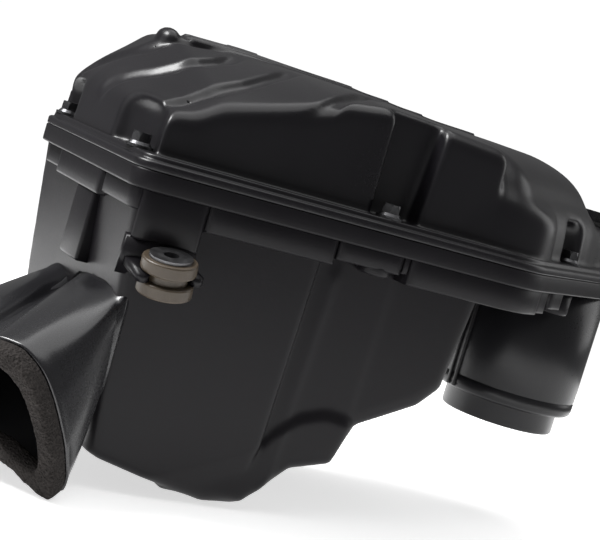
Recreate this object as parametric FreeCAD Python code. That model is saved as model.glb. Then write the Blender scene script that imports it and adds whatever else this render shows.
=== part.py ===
import FreeCAD, Part
import math
import os

V = FreeCAD.Vector

# Air cleaner housing of a passenger car: a deep lower case, a domed cover held by seven screws,
# a panel filter clamped between them, a flared inlet duct and a round outlet neck.
# Housing coordinates: the seam between case and cover is z = 0, its front left corner is (0, 0),
# X runs along the long front edge, Y runs from front to back. Everything is shifted at the end
# so that the row's origin is the centre of the front mounting sleeve.

# ---- driving dimensions (mm) ----
LENGTH = 342.0            # seam outline along X
DEPTH = 165.0             # seam outline along Y
DIAGONAL_START = 213.0    # front edge ends here and turns to the back right
DIAGONAL_ANGLE = 35.9     # direction of the diagonal edge, degrees from X
WALL = 2.6                # moulded wall thickness
CASE_FLANGE = 9.0         # case flange height, below the seam
COVER_FLANGE = 4.2        # cover flange height, above the seam
SHOULDER_TOP = 6.6        # upper step of the cover flange
RIM = 11.5                # flange width outside the dome walls
END_RIM = 5.0             # flange width at the left end
SLOPE = math.tan(math.radians(DIAGONAL_ANGLE))

# dome
MAIN_END = 190.0          # right end of the dome's front wall
LOBE_CENTRE = (252.0, 107.0)
LOBE_RADIUS = 43.0
SHOULDER_HEIGHT = 29.0    # low roof over the outlet
LEFT_HEIGHT = 25.0
RIDGE_HEIGHT = 62.0
RIDGE_Y = 118.0
RAIL = (42.0, 214.0, 6.0, 3.0)   # rail on the ridge: its ends, width and rise
DOME_CLEAR = 90.0         # a height above everything, for cutting tools

# filter
FILTER_X = (22.5, 191.5)
FILTER_Y = (22.0, 146.0)
PLEAT_HEIGHT = 34.0
PLEAT_TOP = -4.0
PLEATS = 21
PAPER = 0.9
GASKET_RIM = 5.5
BAR_X = (197.5, 204.0)    # cross bar that presses the gasket's right side
BAR_HEIGHT = 11.0

# outlet neck
OUTLET = (291.0, 107.0)
OUTLET_BODY_R = 40.0
OUTLET_BORE_R = 29.5
NECK_R = 32.5
NECK_TOP = -80.0
NECK_END = -92.5

# screws
SCREWS = [(8.5, 147.0), (7.5, 31.0), (129.5, 9.5), (265.0, 50.0),
          (110.0, 156.5), (212.0, 156.5), (333.0, 137.0)]
SHANK_R = 2.5
SHANK_END = -15.0
WASHER_R = 6.6
WASHER_H = 1.2
POCKET_R = 10.5
POCKET_REACH = 30.0       # how far a pocket is cut outwards, past the dome wall
INSERT_R = 4.2
HEAD_FLATS = 8.0          # hexagon head, across its flats
HEAD_HEIGHT = 5.6

# mounts: rubber grommet with a steel sleeve
MOUNT_CENTRE = (21.5, -9.5, -42.0)
REAR_MOUNT = (150.0, 172.0, -42.0)
MOUNT_LEAN = (-0.139, -0.17, 0.975)
SLEEVE_BORE_R = 3.5
SLEEVE_R = 5.6
SLEEVE_H = 18.0
COLLAR_R = 9.8
GROMMET_R = 12.5
GROOVE_R = 9.4
GROOVE_H = 4.0
EAR_WIDTH = 31.0
EAR_FRONT = 3.0

# air temperature sensor, upright on the shoulder
SENSOR = (314.5, 109.0, SHOULDER_HEIGHT)
SENSOR_HOLE_R = 9.0
SENSOR_STEM_R = 6.5
SENSOR_COLLAR_R = 8.6
SENSOR_COLLAR_TOP = 8.0
SENSOR_TIP_R = 3.4
SENSOR_TIP_END = -19.0

# inlet duct
MOUTH_NORMAL = (-0.70, -0.60, -0.38)
MOUTH_POINT = (-30.0, 10.0, -115.0)
MOUTH_SHIFT = -8.0
MOUTH_HALF = (46.0, 37.5)
BASE_CENTRE = (18.0, 46.0, -82.0)
BASE_HALF = (39.0, 31.0)
MOUTH_RADII = (28.0, 16.0, 16.0, 28.0)
BASE_RADII = (24.0, 12.0, 12.0, 24.0)
DUCT_WALL = 2.4
FOAM_THICK = 8.0
FOAM_DEPTH = 11.0

ORIGIN = V(*MOUNT_CENTRE)


# ---- small helpers ----
def box(low, high):
    size = [high[i] - low[i] for i in range(3)]
    return Part.makeBox(size[0], size[1], size[2], V(*low))


def cylinder(x, y, radius, low, high):
    return Part.makeCylinder(radius, high - low, V(x, y, low))


def corner_arc(before, corner, after, radius):
    """Start, middle and end of the arc that rounds one corner of an outline."""
    a = (before - corner).normalize()
    b = (after - corner).normalize()
    half = a.getAngle(b) / 2
    reach = radius / math.tan(half)
    start = corner + a * reach
    end = corner + b * reach
    bisector = (a + b).normalize()
    centre = corner + bisector * (radius / math.sin(half))
    return start, centre - bisector * radius, end


def outline(points, radii, z=0.0):
    """A closed wire through the points, each corner rounded by its radius."""
    corners = [V(x, y, z) for x, y in points]
    count = len(corners)
    arcs = []
    for i in range(count):
        arcs.append(corner_arc(corners[i - 1], corners[i], corners[(i + 1) % count], radii[i]))
    edges = []
    for i in range(count):
        start, middle, end = arcs[i]
        edges.append(Part.Arc(start, middle, end).toShape())
        following = arcs[(i + 1) % count][0]
        if (following - end).Length > 1e-6:
            edges.append(Part.LineSegment(end, following).toShape())
    return Part.Wire(edges)


def prism(points, radii, low, high):
    face = Part.Face(outline(points, radii, low))
    return face.extrude(V(0, 0, high - low))


def joined(shapes):
    return shapes[0].multiFuse(shapes[1:]).removeSplitter() if len(shapes) > 1 else shapes[0]


def diagonal_line(inset):
    """The y of the diagonal edge at x = 0 for a line moved inwards by the inset."""
    return -SLOPE * DIAGONAL_START + inset * math.sqrt(1 + SLOPE * SLOPE)


def seam_plan(inset, left=None):
    """Corners of the five-sided housing outline, moved inwards, with their radii."""
    left = inset if left is None else left
    base = diagonal_line(inset)
    right = LENGTH - inset
    points = [(left, inset), ((inset - base) / SLOPE, inset), (right, base + SLOPE * right),
              (right, DEPTH - inset), (left, DEPTH - inset)]
    radii = [max(r - inset, 4.0) for r in (13.0, 44.0, 42.0, 30.0, 16.0)]
    return points, radii


# ---- cover ----
def dome_plan(grow):
    """Outline of the high dome: rectangular on the left, closing round the lobe on the right."""
    x, y = LOBE_CENTRE
    right = x + LOBE_RADIUS - grow
    base = diagonal_line(RIM + grow)
    top = DEPTH - RIM - grow
    front = RIM + grow
    points = [(END_RIM + grow, front), ((front - base) / SLOPE - 8.0, front), (right, base + SLOPE * right),
              (right, top), (END_RIM + grow, top)]
    return points, [6.0, 20.0, 34.0, 30.0, 6.0]


def roof_section(y, heights, grow):
    points = [(END_RIM - 4.0, -1.0)] + [(x, z - grow) for x, z in heights] + [(LENGTH, -1.0)]
    return Part.makePolygon([V(x, y, z) for x, z in points] + [V(END_RIM - 4.0, y, -1.0)])


def roof_solid(grow):
    """Ramp roof: a ruled body between a gently rising front profile and a steep back profile."""
    front = [(END_RIM - 4.0, LEFT_HEIGHT - 1.0), (24.0, 27.5), (63.0, 42.0), (116.0, 55.0), (235.0, 55.0),
             (272.0, 44.0), (LENGTH, 30.0)]
    back = [(END_RIM - 4.0, LEFT_HEIGHT), (38.0, RIDGE_HEIGHT), (80.0, RIDGE_HEIGHT),
            (138.0, RIDGE_HEIGHT - 1.0), (240.0, 57.0), (278.0, 46.0), (LENGTH, 32.0)]
    wires = [roof_section(y, h, grow) for y, h in ((RIM - 8.0, front), (RIDGE_Y, back), (DEPTH, back))]
    return Part.makeLoft(wires, True, True)


def pocket(x, y, grow):
    """Upright half-round scoop in the dome wall for one screw, open upwards and outwards."""
    reach = POCKET_R + grow
    bottom = SHOULDER_TOP - 20.0
    post = cylinder(x, y, reach, bottom, DOME_CLEAR)
    if y < RIM + 4.0:
        outward = V(0, -POCKET_REACH, 0)
    elif y > DEPTH - RIM - 4.0:
        outward = V(0, POCKET_REACH, 0)
    elif x < END_RIM + 8.0:
        outward = V(-POCKET_REACH, 0, 0)
    elif x > LENGTH - 30.0:
        outward = V(POCKET_REACH, 0, 0)
    else:
        outward = V(POCKET_REACH * SLOPE, -POCKET_REACH, 0)
    side = V(-outward.y, outward.x, 0).normalize() * reach
    centre = V(x, y, bottom)
    corners = [centre - side, centre + side, centre + side + outward, centre - side + outward]
    slot = Part.Face(Part.makePolygon(corners + [corners[0]])).extrude(V(0, 0, DOME_CLEAR - bottom))
    return post.fuse(slot)


def dome(grow):
    points, radii = dome_plan(grow)
    high = prism(points, radii, -1.0, 80.0).common(roof_solid(grow))
    low_points, low_radii = seam_plan(RIM + grow, END_RIM + grow)
    low = prism(low_points, low_radii, -1.0, SHOULDER_HEIGHT - grow)
    keep_right = box((MAIN_END, -10.0, -2.0), (LENGTH + 10.0, DEPTH + 10.0, DOME_CLEAR))
    shape = high.fuse(low.common(keep_right))
    for x, y in SCREWS:
        shape = shape.cut(pocket(x, y, grow))
    return shape


def upper_cover():
    points, radii = seam_plan(0.0)
    flange = prism(points, radii, 0.0, COVER_FLANGE)
    points, radii = seam_plan(2.5)
    step = prism(points, radii, 0.0, SHOULDER_TOP)
    above_seam = box((-20.0, -20.0, 0.0), (LENGTH + 20.0, DEPTH + 20.0, DOME_CLEAR))
    shape = joined([flange, step, dome(0.0).common(above_seam)])
    cavity = dome(WALL)
    shape = shape.cut(cavity)
    bar = box((BAR_X[0], RIM, 0.0), (BAR_X[1], DEPTH - RIM, BAR_HEIGHT)).common(dome(0.0))
    shape = shape.fuse(bar)
    start, end, width, rise = RAIL
    ridge = box((start, RIDGE_Y, 50.0), (end, RIDGE_Y + width, RIDGE_HEIGHT + rise))
    rail = ridge.common(prism(*dome_plan(0.0), 40.0, DOME_CLEAR)).cut(roof_solid(1.0))
    shape = shape.fuse(rail)
    for x, y in SCREWS:
        shape = shape.cut(cylinder(x, y, SHANK_R + 0.5, -1.0, SHOULDER_TOP + 1.0))
    x, y, z = SENSOR
    shape = shape.cut(cylinder(x, y, SENSOR_HOLE_R, z - 12.0, z + 12.0))
    return shape.removeSplitter()


# ---- lower case ----
CASE_LEFT = [(3.5, -2.0), (17.0, -131.0), (24.0, -134.0), (83.0, -147.5), (101.5, -146.5), (102.5, -2.0)]
CASE_RIGHT = [(98.0, -2.0), (98.0, -145.0), (103.0, -145.0), (123.0, -124.0), (144.0, -118.0), (151.0, -98.0),
              (168.0, -89.0), (183.0, -81.0), (193.0, -70.0), (199.5, -2.0)]
SIDE_LEFT = [(6.5, -2.0), (12.0, -160.0), (150.0, -160.0), (158.5, -2.0)]
SIDE_RIGHT = [(13.5, -2.0), (19.0, -160.0), (147.0, -160.0), (155.5, -2.0)]
THROAT = ((20.5, 15.0, -30.0), (194.5, 153.0, 1.0))       # room for the filter
BRIDGE = ((80.0, 20.0, -100.0), (125.0, 147.0, -10.0))    # opens the two halves to each other
FRONT_STRIPS = [(36.0, 101.0, -20.8), (100.0, 135.0, -18.0), (135.0, 208.0, -21.0)]   # start, end, bottom
APRON_BOTTOM = -21.0
BOSS_R = 8.0
BIG_BOSS = (5.0, 82.0, 10.5, -25.0)                       # x, y, radius, bottom
BOSS_RIB = ((0.5, 72.0, -53.0), (12.0, 80.0, -20.0))
LEDGE_BACK, LEDGE_FRONT = 13.0, 8.0                       # height of the sloped ledge over the mount


def tub_half(front_profile, side_profile, grow):
    """One half of the tub: its front view and its side view, each extruded and crossed."""
    def shrunk(points, place):
        wire = Part.makePolygon([place(*p) for p in points] + [place(*points[0])])
        return wire.makeOffset2D(-grow) if grow else wire
    front = Part.Face(shrunk(front_profile, lambda x, z: V(x, 0, z))).extrude(V(0, DEPTH, 0))
    side = Part.Face(shrunk(side_profile, lambda y, z: V(0, y, z))).extrude(V(LENGTH, 0, 0))
    return front.common(side)


def tub(grow):
    left = tub_half(CASE_LEFT, SIDE_LEFT, grow)
    right = tub_half(CASE_RIGHT, SIDE_RIGHT, grow)
    shape = left.fuse(right)
    if grow:
        shape = shape.fuse([box(*THROAT), box(*BRIDGE)])
    return shape.removeSplitter()


def gasket_outline(inset):
    low = (FILTER_X[0] - GASKET_RIM + inset, FILTER_Y[0] - GASKET_RIM + inset)
    high = (FILTER_X[1] + GASKET_RIM - inset, FILTER_Y[1] + GASKET_RIM - inset)
    points = [(low[0], low[1]), (high[0], low[1]), (high[0], high[1]), (low[0], high[1])]
    return points, [6.0] * 4


def rail_along_front():
    """Apron under the flange: a wide strip, a narrow strip and the strip round the corner."""
    shape = None
    for start, end, bottom in FRONT_STRIPS:
        strip = box((start, 1.5, bottom), (end, 18.0, -CASE_FLANGE + 1.0))
        shape = strip if shape is None else shape.fuse(strip)
    points, radii = seam_plan(1.5)
    apron = prism(points, radii, APRON_BOTTOM, -CASE_FLANGE + 1.0)
    points, radii = seam_plan(4.5)
    apron = apron.cut(prism(points, radii, APRON_BOTTOM - 1.0, 0.0))
    apron = apron.common(box((203.0, -20.0, -30.0), (300.0, 110.0, 0.0)))
    return shape.fuse(apron)


def case_bosses():
    """Screw bosses under the flange, and the big boss with its rib on the left end."""
    shapes = [cylinder(x, y, BOSS_R, APRON_BOTTOM, -CASE_FLANGE + 1.0) for x, y in SCREWS]
    x, y, radius, bottom = BIG_BOSS
    shapes.append(cylinder(x, y, radius, bottom, -CASE_FLANGE + 1.0))
    shapes.append(box(*BOSS_RIB))
    return joined(shapes)


def leaned(shape, centre):
    """Turns a shape made round the Z axis onto the leaning bolt axis of a mount."""
    turn = FreeCAD.Rotation(V(0, 0, 1), V(*MOUNT_LEAN))
    shape.Placement = FreeCAD.Placement(V(*centre), turn)
    return shape


def mount_ear(centre, wall, facing):
    """Fork plate in the grommet's groove, open away from the wall, and the sloped ledge behind it."""
    x, y, z = centre
    half = EAR_WIDTH / 2
    thick = (GROOVE_H - 0.1) / 2
    near = -EAR_FRONT * facing
    far = (abs(wall - y) + 2.0) * facing
    corners = [(-half, near), (half, near), (half, far), (-half, far)]
    radii = [5.0, 5.0, 1.0, 1.0]
    if facing < 0:
        corners = [corners[3], corners[2], corners[1], corners[0]]
        radii = radii[::-1]
    plate = prism(corners, radii, -thick, thick)
    plate = plate.cut(cylinder(0, 0, GROOVE_R, -5.0, 5.0))
    slot = box((1.0 - GROOVE_R, min(0.0, near * 9), -5.0), (GROOVE_R - 1.0, max(0.0, near * 9), 5.0))
    plate = leaned(plate.cut(slot), centre)
    back = wall + 1.5 * facing
    front = y + (GROMMET_R + 2.6) * facing
    side = [(back, z + LEDGE_BACK), (front, z + LEDGE_FRONT), (front, z + thick), (back, z - 6.0)]
    ring = [V(x - half - 2.0, a, b) for a, b in side + side[:1]]
    ledge = Part.Face(Part.makePolygon(ring)).extrude(V(EAR_WIDTH + 4.0, 0, 0))
    return plate.fuse(ledge)


def lower_case():
    points, radii = seam_plan(0.0)
    deck = prism(points, radii, -CASE_FLANGE, 0.0)
    outside = tub(0.0).common(box((-20.0, -20.0, -170.0), (LENGTH, DEPTH + 20.0, 0.0)))
    shape = joined([deck, outside, rail_along_front(), case_bosses(),
                    mount_ear(MOUNT_CENTRE, 8.0, 1.0), mount_ear(REAR_MOUNT, 153.2, -1.0)])
    shape = shape.cut(tub(WALL))
    seat_points, seat_radii = gasket_outline(-0.4)
    shape = shape.cut(prism(seat_points, seat_radii, -4.0, 1.0))
    shape = shape.cut(cylinder(OUTLET[0], OUTLET[1], OUTLET_BODY_R, -30.0, 1.0))
    shape = shape.cut(seal_ring(0.0))
    for x, y in SCREWS:
        shape = shape.cut(cylinder(x, y, INSERT_R, SHANK_END - 2.0, 1.0))
    return shape.cut(duct_body(0.0)).removeSplitter()


# ---- outlet neck ----
def outlet_neck():
    x, y = OUTLET
    body = cylinder(x, y, OUTLET_BODY_R, NECK_TOP, 0.0)
    neck = cylinder(x, y, NECK_R, NECK_END, NECK_TOP + 1.0)
    ribs = [box((x - 21.0, y - OUTLET_BODY_R + 1.5, NECK_TOP), (x - 19.2, y - 30.0, -CASE_FLANGE - 1.0)),
            box((x - 24.6, y - OUTLET_BODY_R + 3.2, NECK_TOP), (x - 22.8, y - 30.0, -CASE_FLANGE - 1.0))]
    shape = joined([body, neck] + ribs)
    shape = shape.cut(cylinder(x, y, OUTLET_BODY_R - WALL, NECK_TOP + WALL, 1.0))
    return shape.cut(cylinder(x, y, OUTLET_BORE_R, NECK_END - 1.0, 1.0)).removeSplitter()


def seal_ring(inset):
    """Square rubber cord in the deck round the clean air side."""
    x, y = OUTLET
    outer = cylinder(x, y, OUTLET_BODY_R + 4.4 - inset, -2.0, 0.0)
    return outer.cut(cylinder(x, y, OUTLET_BODY_R + 1.2 + inset, -3.0, 1.0))


# ---- inlet duct ----
def mouth_axes():
    normal = V(*MOUTH_NORMAL).normalize()
    up = V(0, 0, 1) - normal * normal.z
    up.normalize()
    return normal, up, up.cross(normal)


def round_section(centre, across, up, half, radii):
    """Rounded four-cornered section in the plane of the two given directions."""
    corners = []
    for a, b in ((1, 1), (1, -1), (-1, -1), (-1, 1)):
        corners.append(centre + across * (a * half[0]) + up * (b * half[1]))
    edges = []
    arcs = [corner_arc(corners[i - 1], corners[i], corners[(i + 1) % 4], radii[i]) for i in range(4)]
    for i in range(4):
        start, middle, end = arcs[i]
        edges.append(Part.Arc(start, middle, end).toShape())
        edges.append(Part.LineSegment(end, arcs[(i + 1) % 4][0]).toShape())
    return Part.Wire(edges)


def mouth_section(shrink, forward):
    normal, up, across = mouth_axes()
    centre = V(*MOUTH_POINT) + across * MOUTH_SHIFT + normal * forward
    half = (MOUTH_HALF[0] - shrink, MOUTH_HALF[1] - shrink)
    return round_section(centre, across, up, half, [radius - shrink for radius in MOUTH_RADII])


def base_section(shrink, forward):
    centre = V(*BASE_CENTRE) + V(-forward, 0, 0)
    half = (BASE_HALF[0] - shrink, BASE_HALF[1] - shrink)
    return round_section(centre, V(0, -1, 0), V(0, 0, 1), half, [radius - shrink for radius in BASE_RADII])


def duct_body(shrink):
    reach = 1.0 if shrink else 0.0
    return Part.makeLoft([base_section(shrink, -reach), mouth_section(shrink, reach)], True, True)


def inlet_duct():
    return duct_body(0.0).cut(duct_body(DUCT_WALL))


def inlet_foam():
    outer = Part.Face(mouth_section(-0.6, 0.0))
    inner = Part.Face(mouth_section(FOAM_THICK, 0.0))
    normal = mouth_axes()[0]
    return outer.cut(inner).extrude(normal * FOAM_DEPTH)


# ---- filter ----
def filter_gasket():
    points, radii = gasket_outline(0.0)
    rim = prism(points, radii, -3.9, -0.1)
    band = box((FILTER_X[0], FILTER_Y[0], -10.0), (FILTER_X[1], FILTER_Y[1], -3.8))
    hole = box((FILTER_X[0] + 2.2, FILTER_Y[0] + 2.2, -20.0), (FILTER_X[1] - 2.2, FILTER_Y[1] - 2.2, 10.0))
    return rim.fuse(band).cut(hole).removeSplitter()


def filter_media():
    """Pleated paper: one zigzag profile of constant thickness, extruded from front to back."""
    low_x = FILTER_X[0] + 2.3
    pitch = (FILTER_X[1] - 2.3 - low_x) / PLEATS
    top = PLEAT_TOP
    bottom = top - PLEAT_HEIGHT
    upper = []
    lower = []
    for i in range(2 * PLEATS + 1):
        x = low_x + pitch * i / 2
        z = top if i % 2 == 0 else bottom
        upper.append(V(x, 0, z))
        lower.append(V(x, 0, z - PAPER * 5))
    ring = upper + lower[::-1] + [upper[0]]
    face = Part.Face(Part.makePolygon(ring))
    face.translate(V(0, FILTER_Y[0] + 2.3, 0))
    return face.extrude(V(0, FILTER_Y[1] - FILTER_Y[0] - 4.6, 0))


def filter_beads():
    """Three hot melt beads that keep the pleats apart, on the clean side of the paper."""
    span = FILTER_Y[1] - FILTER_Y[0]
    beads = []
    for part in (0.25, 0.5, 0.75):
        y = FILTER_Y[0] + span * part
        low = (FILTER_X[0] + 2.3, y - 1.5, PLEAT_TOP + 0.1)
        beads.append(box(low, (FILTER_X[1] - 2.3, y + 1.5, PLEAT_TOP + 1.8)))
    return Part.makeCompound(beads)


# ---- screws, washers, inserts ----
def thread_inserts():
    sleeves = []
    for x, y in SCREWS:
        sleeve = cylinder(x, y, INSERT_R, SHANK_END - 2.0, -0.2)
        sleeves.append(sleeve.cut(cylinder(x, y, SHANK_R + 0.06, SHANK_END - 3.0, 1.0)))
    return Part.makeCompound(sleeves)


def washer(x, y):
    low = SHOULDER_TOP + 0.05
    disc = cylinder(x, y, WASHER_R, low, low + WASHER_H)
    return disc.cut(cylinder(x, y, SHANK_R + 0.08, low - 1.0, low + 3.0))


def screw(x, y):
    seat = SHOULDER_TOP + WASHER_H + 0.1
    flange = Part.makeCone(5.6, 4.6, 1.4, V(x, y, seat))
    corner = HEAD_FLATS / math.sqrt(3)
    ring = []
    for i in range(7):
        turn = math.radians(60 * i)
        ring.append(V(x + corner * math.cos(turn), y + corner * math.sin(turn), seat + 1.0))
    head = Part.Face(Part.makePolygon(ring)).extrude(V(0, 0, HEAD_HEIGHT - 1.0))
    head = head.common(Part.makeCone(5.4, 4.1, 6.0, V(x, y, seat)))
    recess = cylinder(x, y, 2.4, seat + HEAD_HEIGHT - 1.0, seat + 7.0)
    shank = cylinder(x, y, SHANK_R, SHANK_END + 2.0, seat + 0.5)
    tip = Part.makeCone(1.2, SHANK_R, 2.0, V(x, y, SHANK_END))
    return joined([flange, head, shank, tip]).cut(recess)


# ---- grommets ----
def grommet(centre):
    """Rubber bush with a groove for the fork plate and a bore for the steel sleeve."""
    half = SLEEVE_H / 2 - 0.8
    gap = GROOVE_H / 2
    shape = joined([cylinder(0, 0, GROMMET_R, gap, half), cylinder(0, 0, GROMMET_R, -half, -gap),
                    cylinder(0, 0, GROOVE_R, -half, half)])
    rings = [edge for edge in shape.Edges if abs(edge.BoundBox.XLength - 2 * GROMMET_R) < 0.01]
    shape = shape.makeFillet(1.0, rings)
    return leaned(shape.cut(cylinder(0, 0, SLEEVE_R, -20.0, 20.0)), centre)


def sleeve(centre):
    """Steel sleeve with a collar that limits how far the bolt squeezes the rubber."""
    top = SLEEVE_H / 2
    shape = cylinder(0, 0, SLEEVE_R, -top, top).fuse(cylinder(0, 0, COLLAR_R, top - 0.8, top + 0.7))
    return leaned(shape.cut(cylinder(0, 0, SLEEVE_BORE_R, -20.0, 20.0)), centre)


# ---- air temperature sensor on the shoulder ----
def sensor_grommet():
    """Rubber bush with a flange above and below the shoulder roof."""
    x, y, z = SENSOR
    shape = joined([cylinder(x, y, SENSOR_HOLE_R + 2.5, z + 0.02, z + 2.2),
                    cylinder(x, y, SENSOR_HOLE_R, z - 4.5, z + 1.0),
                    cylinder(x, y, SENSOR_HOLE_R + 1.4, z - 5.4, z - WALL - 0.05)])
    return shape.cut(cylinder(x, y, SENSOR_STEM_R, z - 10.0, z + 10.0))


def sensor():
    """Stem and tip in the air, a round body on the bush and a two-pin socket to the right."""
    x, y, z = SENSOR
    stem = cylinder(x, y, SENSOR_STEM_R, z - 8.0, z + 2.3)
    tip = cylinder(x, y, SENSOR_TIP_R, z + SENSOR_TIP_END, z - 7.0)
    collar = cylinder(x, y, SENSOR_COLLAR_R, z + 2.25, z + SENSOR_COLLAR_TOP)
    socket = box((x + 2.0, y - 5.0, z + 2.4), (x + 14.0, y + 5.0, z + SENSOR_COLLAR_TOP))
    cavity = box((x + 9.5, y - 3.6, z + 3.6), (x + 15.0, y + 3.6, z + SENSOR_COLLAR_TOP - 1.2))
    pins = [box((x + 8.0, y + o - 0.4, z + 4.8), (x + 12.5, y + o + 0.4, z + 5.6)) for o in (-1.6, 1.6)]
    return joined([stem, tip, collar, socket.cut(cavity)] + pins)


# ---- export ----
def build():
    nodes = {
        "lower_case": lower_case(),
        "outlet_neck": outlet_neck(),
        "outlet_seal": seal_ring(0.15),
        "inlet_duct": inlet_duct(),
        "inlet_foam_seal": inlet_foam(),
        "thread_inserts": thread_inserts(),
        "front_grommet": grommet(MOUNT_CENTRE),
        "front_sleeve": sleeve(MOUNT_CENTRE),
        "rear_grommet": grommet(REAR_MOUNT),
        "rear_sleeve": sleeve(REAR_MOUNT),
        "filter_gasket": filter_gasket(),
        "filter_media": filter_media(),
        "filter_beads": filter_beads(),
        "upper_cover": upper_cover(),
        "sensor_grommet": sensor_grommet(),
        "air_temperature_sensor": sensor(),
    }
    for number, (x, y) in enumerate(SCREWS, 1):
        nodes["cover_screw_%d" % number] = screw(x, y)
        nodes["screw_washer_%d" % number] = washer(x, y)
    return nodes


os.makedirs("parts", exist_ok=True)
for name, shape in build().items():
    shape.translate(ORIGIN * -1.0)
    shape.exportStep("parts/%s.step" % name)
    print(name, len(shape.Solids), "%.0f" % shape.Volume, shape.isValid())
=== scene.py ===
import math

import bpy
import numpy as np
from mathutils import Matrix, Vector


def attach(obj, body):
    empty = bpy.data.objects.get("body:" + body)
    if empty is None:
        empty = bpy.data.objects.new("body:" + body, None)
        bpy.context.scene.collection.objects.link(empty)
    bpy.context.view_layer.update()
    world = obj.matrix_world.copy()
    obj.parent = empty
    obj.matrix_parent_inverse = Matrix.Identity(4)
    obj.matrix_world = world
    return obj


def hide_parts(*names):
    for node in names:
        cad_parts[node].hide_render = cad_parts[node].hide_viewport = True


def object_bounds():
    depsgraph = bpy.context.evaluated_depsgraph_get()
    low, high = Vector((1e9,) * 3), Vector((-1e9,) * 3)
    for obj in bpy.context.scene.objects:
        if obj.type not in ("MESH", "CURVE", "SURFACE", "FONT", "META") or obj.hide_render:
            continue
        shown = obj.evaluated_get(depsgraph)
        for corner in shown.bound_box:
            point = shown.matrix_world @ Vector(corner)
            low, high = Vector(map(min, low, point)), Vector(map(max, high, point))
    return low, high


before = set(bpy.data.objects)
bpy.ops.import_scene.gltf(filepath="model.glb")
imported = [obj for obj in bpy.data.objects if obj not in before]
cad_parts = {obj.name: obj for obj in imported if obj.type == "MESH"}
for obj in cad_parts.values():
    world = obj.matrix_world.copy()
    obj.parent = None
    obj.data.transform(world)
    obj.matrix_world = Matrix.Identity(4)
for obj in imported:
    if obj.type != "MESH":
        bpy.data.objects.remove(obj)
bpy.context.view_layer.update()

# Looks of an air cleaner housing: deep case, domed cover, flared inlet duct with a foam ring,
# round outlet neck, rubber mounts and cover screws. Shapes are worked out in housing
# coordinates, in millimetres: the seam is z = 0, its front left corner (0, 0), X along the
# long front edge, Y to the back. They are shifted to the row's origin when a mesh is made.

MM = 0.001

# ---- driving dimensions, as in the part ----
LENGTH, DEPTH = 342.0, 165.0
DIAGONAL_START = 213.0                             # the x where the front edge turns inwards
SLOPE = math.tan(math.radians(35.9))
SECANT = math.sqrt(1 + SLOPE * SLOPE)
WALL = 2.6
CASE_FLANGE, COVER_FLANGE, SHOULDER_TOP = 9.0, 4.2, 6.6
FLANGE_WIDTH = 10.5
RIM, END_RIM = 11.5, 5.0
SHOULDER_HEIGHT = 29.0
OUTLET, OUTLET_RADIUS = (291.0, 107.0), 40.0
FRONT_SCREW, CORNER_SCREW, END_SCREW = (129.5, 9.5), (265.0, 50.0), (333.0, 137.0)
BACK_SCREWS = ((110.0, 156.5), (212.0, 156.5))
BOSSED_SCREWS = (FRONT_SCREW, CORNER_SCREW, *BACK_SCREWS, END_SCREW)
MOUNT_CENTRE = np.array([21.5, -9.5, -42.0])
REAR_MOUNT = np.array([150.0, 172.0, -42.0])
MOUNT_LEAN = np.array([-0.139, -0.17, 0.975])
ORIGIN = MOUNT_CENTRE                              # the row's origin: the front mounting sleeve
SEAM_RADII = (13.0, 44.0, 42.0, 30.0, 16.0)
ARC_POINTS = 17                                    # on each rounded corner of the seam
EDGE_ROUNDING = 1.0                                # width of the averaging that rounds the moulded edges


# ======================================================================== meshes
def make_mesh(name, points, faces, normals=None):
    """A mesh from housing points in mm and lists of corner numbers."""
    mesh = bpy.data.meshes.new(name)
    placed = (np.asarray(points, float) - ORIGIN) * MM
    mesh.from_pydata(placed.tolist(), [], faces)
    mesh.polygons.foreach_set("use_smooth", np.ones(len(mesh.polygons), bool))
    mesh.update()
    if normals is not None:
        mesh.normals_split_custom_set_from_vertices(normals.tolist())
    return mesh


def join_parts(parts):
    """Puts several (points, faces) parts into one, the corner numbers moved on by what came before."""
    faces, start = [], 0
    for part_points, part_faces in parts:
        faces += [[corner + start for corner in face] for face in part_faces]
        start += len(part_points)
    return np.concatenate([part_points for part_points, _ in parts]), faces


def loft(rings, flip=False):
    """Skin through rings of equal length, an array of rings x points x 3: each point joins its
    neighbour in the same ring and the point of the same number in the next ring; the first and
    last rings are closed by one flat face each."""
    rings = np.asarray(rings, float)
    rows, count = rings.shape[:2]
    a = np.arange(rows - 1)[:, None] * count
    b = np.arange(count)[None, :]
    after = (b + 1) % count
    quads = np.stack([a + b, a + after, a + count + after, a + count + b], -1).reshape(-1, 4)
    faces = (quads[:, ::-1] if flip else quads).tolist()
    first, last = list(range(count))[::-1], [count * (rows - 1) + i for i in range(count)]
    faces += [first[::-1], last[::-1]] if flip else [first, last]
    return rings.reshape(-1, 3), faces


def rounded_loop(corners, radii, arc_points):
    """Outline through the corners (counter-clockwise), each rounded by an arc of its radius:
    returns points and outward normals. An arc's point is its centre plus radius times a normal
    that turns evenly from the normal of one edge to that of the next."""
    corners = np.asarray(corners, float)
    points, normals = [], []
    for i, radius in enumerate(radii):
        before, here, after = corners[i - 1], corners[i], corners[(i + 1) % len(corners)]
        enter = (here - before) / np.linalg.norm(here - before)
        leave = (after - here) / np.linalg.norm(after - here)
        turn = math.atan2(enter[0] * leave[1] - enter[1] * leave[0], float(enter @ leave))
        side = 1.0 if turn > 0 else -1.0
        start = here - enter * radius * math.tan(abs(turn) / 2)
        first = np.array([enter[1], -enter[0]])
        centre = start - first * radius * side
        angle = np.linspace(0, turn, arc_points)
        spun = np.stack([first[0] * np.cos(angle) - first[1] * np.sin(angle),
                         first[0] * np.sin(angle) + first[1] * np.cos(angle)], -1)
        points.append(centre + spun * radius * side)
        normals.append(spun)
    return np.concatenate(points), np.concatenate(normals)


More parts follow.
